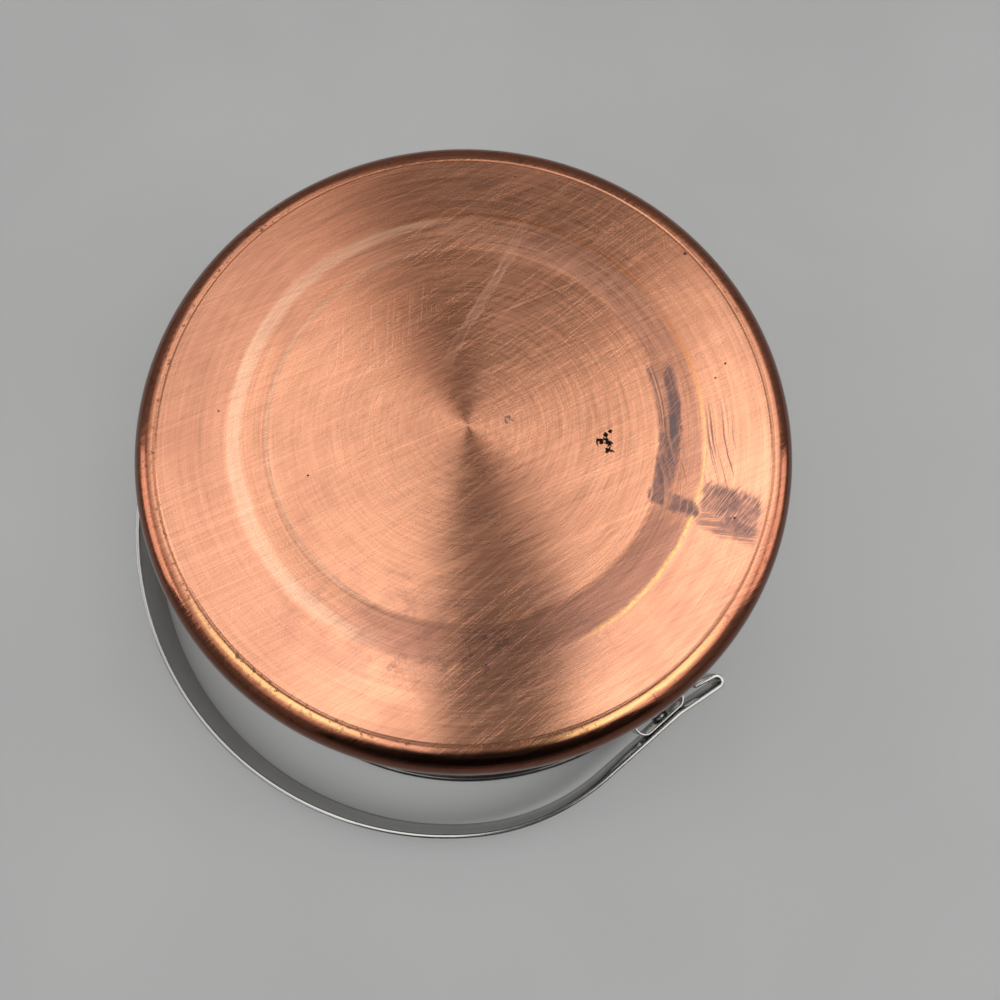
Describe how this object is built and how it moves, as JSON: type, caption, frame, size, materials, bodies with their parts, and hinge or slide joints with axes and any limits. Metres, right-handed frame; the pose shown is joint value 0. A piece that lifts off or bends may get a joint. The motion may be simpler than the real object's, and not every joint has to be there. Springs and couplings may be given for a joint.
{
  "type": "pot with a swing handle",
  "caption": "Low round steel pot with a copper-clad, dished base, a flared rim and a flat strap handle that swings on riveted ears; stored turned over on its rim.",
  "frame": {"origin": "on the plane of the pot's rim, below the middle of the outline of the pot with its handle folded down; the pot's own axis stands at y = 10.6 mm", "axes": "+Z along the pot's axis from the mouth to the base, because the pot is stored turned over on its rim; +X along the handle's pivot axis; the folded handle's bow points to -Y. A half turn about X stands the pot the right way up."},
  "size_m": [0.2464, 0.2538, 0.098],
  "materials": {
    "pot_steel": "satin, spun round the pot's axis",
    "copper": "copper, worn, brushed in rings and scratched",
    "fitting_steel": "satin, pressed",
    "strap_steel": "polished, brushed along its length"
  },
  "bodies": {
    "pot": {"pot_shell": "pot_steel", "copper_base": "copper", "bail_ear_right": "fitting_steel", "bail_ear_left": "fitting_steel", "bail_rivet_right": "fitting_steel", "bail_rivet_left": "fitting_steel"},
    "bail": {"bail": "strap_steel"}
  },
  "joints": [
    {"name": "bail_swing", "type": "hinge", "parent": "pot", "child": "bail", "pos_m": [0, 0.01059, 0.0175], "axis": [1, 0, 0], "range_deg": [-26, 199]}
  ]
}
